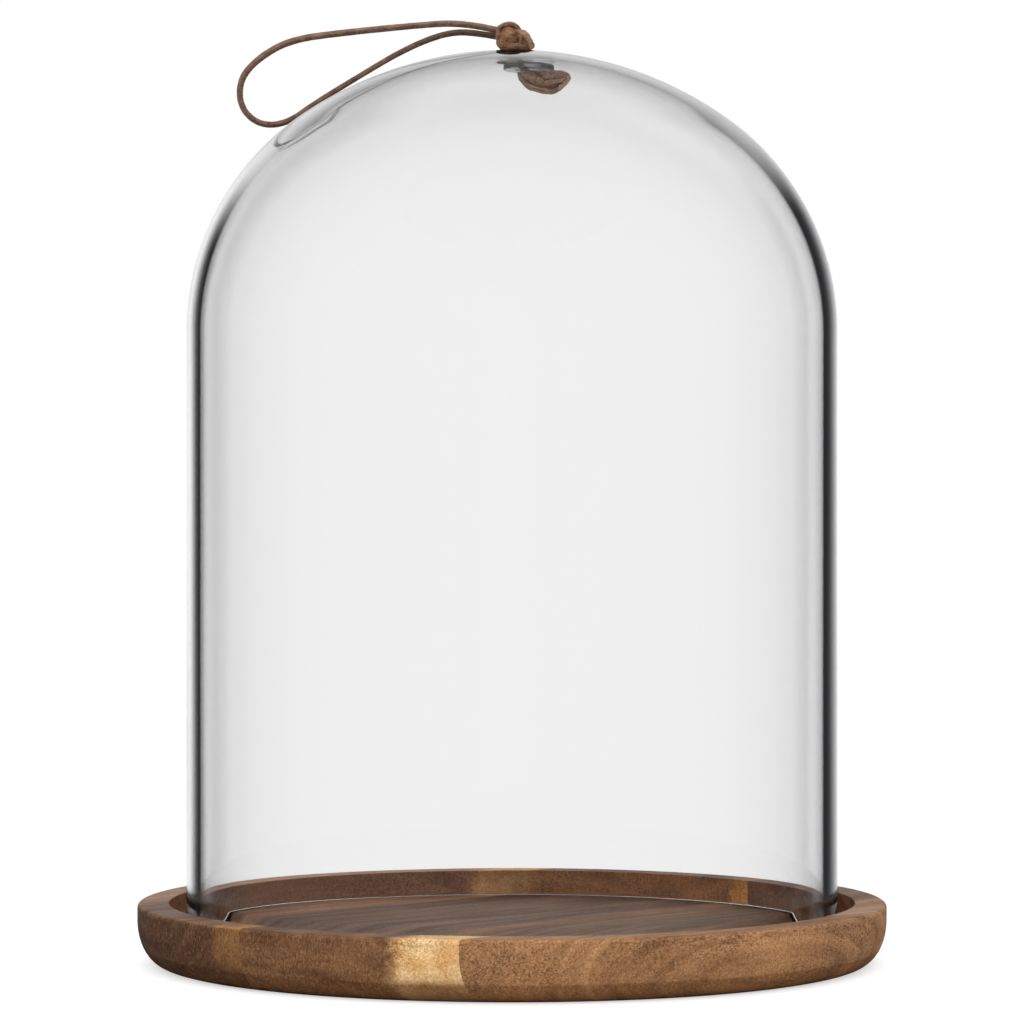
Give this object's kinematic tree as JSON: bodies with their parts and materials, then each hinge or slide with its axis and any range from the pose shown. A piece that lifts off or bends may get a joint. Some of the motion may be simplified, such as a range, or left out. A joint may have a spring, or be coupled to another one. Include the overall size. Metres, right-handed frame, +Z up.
{
  "type": "bell jar dome",
  "caption": "Clear glass bell jar standing in the recess of a round wooden tray, lifted by a knotted leather lace loop through its crown.",
  "frame": {"origin": "on the tray's axis, on the flat face that the tray stands on", "axes": "+Z up along the dome's axis, +X to the right and +Y to the back as seen from the front, with the lace's loop lying towards -X"},
  "size_m": [0.23, 0.23, 0.2896],
  "materials": {
    "tray_wood": "oiled satin, open grain, pale sapwood along one side of each board",
    "dome_glass": "clear blown glass, fire polished",
    "clear_washer": "soft clear plastic, slightly grey",
    "lace_leather": "waxed brown leather, suede-like cut edges"
  },
  "bodies": {
    "tray": {"tray_board_front": "tray_wood", "tray_board_mid_front": "tray_wood", "tray_board_mid_back": "tray_wood", "tray_board_back": "tray_wood"},
    "dome": {"glass_dome": "dome_glass"},
    "lace": {"lace_top_knot": "lace_leather", "lace_neck": "lace_leather", "clear_washer": "clear_washer", "lace_stop_knot": "lace_leather"},
    "loop": {"lace_loop": "lace_leather"}
  },
  "joints": [
    {"name": "dome_lift", "type": "slide", "parent": "tray", "child": "dome", "axis": [0, 0, 1], "range_m": [0, 0.3]},
    {"name": "lace_swivel", "type": "hinge", "parent": "dome", "child": "lace", "pos_m": [0, 0, 0.28], "axis": [0, 0, 1], "continuous": true},
    {"name": "loop_swing", "type": "hinge", "parent": "lace", "child": "loop", "pos_m": [-0.0003, 0, 0.28495], "axis": [0, 1, 0], "range_deg": [0, 100]}
  ]
}
